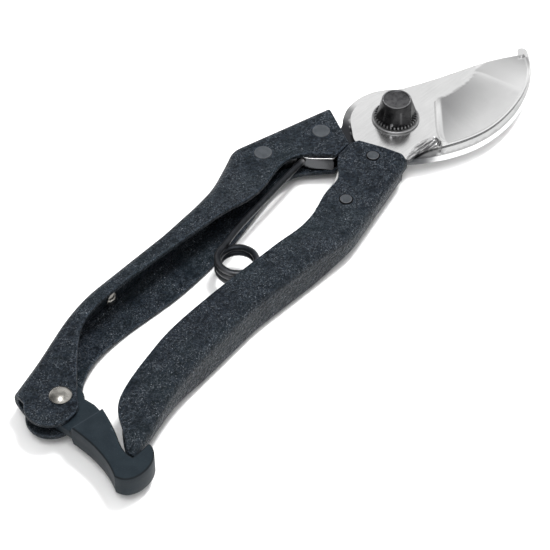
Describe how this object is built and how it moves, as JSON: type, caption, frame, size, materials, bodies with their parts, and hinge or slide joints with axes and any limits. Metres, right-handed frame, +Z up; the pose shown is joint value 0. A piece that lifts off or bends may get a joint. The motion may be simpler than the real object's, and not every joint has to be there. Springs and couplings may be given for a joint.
{
  "type": "pruning shears",
  "caption": "Bypass hand pruning shears with pressed-steel channel handles, tall pivot nut, coil spring and a swinging butt catch, closed and latched.",
  "frame": {"origin": "on the pivot axis, at the flat underside of the pivot bolt's head, which is the floor the shears lie on", "axes": "+X along the handles from the butts towards the blades, +Z up along the pivot axis, the catch-side handle towards +Y"},
  "size_m": [0.2134, 0.0595, 0.0172],
  "materials": {
    "handle_paint": "wrinkle black paint",
    "blade_steel": "satin chrome",
    "black_steel": "black oxide steel",
    "plain_steel": "dull grey steel",
    "bright_nickel": "bright nickel",
    "black_plastic": "satin moulded black"
  },
  "bodies": {
    "counter_side": {"left_handle": "handle_paint", "counter_blade": "blade_steel", "pivot_bolt": "black_steel", "pivot_nut": "black_steel", "lock_ring": "black_steel", "pivot_washer": "plain_steel", "left_front_rivet": "plain_steel", "left_rear_rivet": "plain_steel", "catch_rivet": "bright_nickel", "web_rivet": "bright_nickel", "spring": "black_steel"},
    "cutting_side": {"right_handle": "handle_paint", "cutting_blade": "blade_steel", "right_front_rivet": "plain_steel", "right_rear_rivet": "plain_steel"},
    "catch": {"catch_lever": "black_plastic"}
  },
  "joints": [
    {"name": "blade_pivot", "type": "hinge", "parent": "counter_side", "child": "cutting_side", "pos_m": [0, 0, 0.0068], "axis": [0, 0, 1], "range_deg": [0, 28], "deforming": ["spring"]},
    {"name": "catch_pivot", "type": "hinge", "parent": "counter_side", "child": "catch", "pos_m": [-0.146, 0.0114, 0.0068], "axis": [0, 0, -1], "range_deg": [0, 95]}
  ]
}
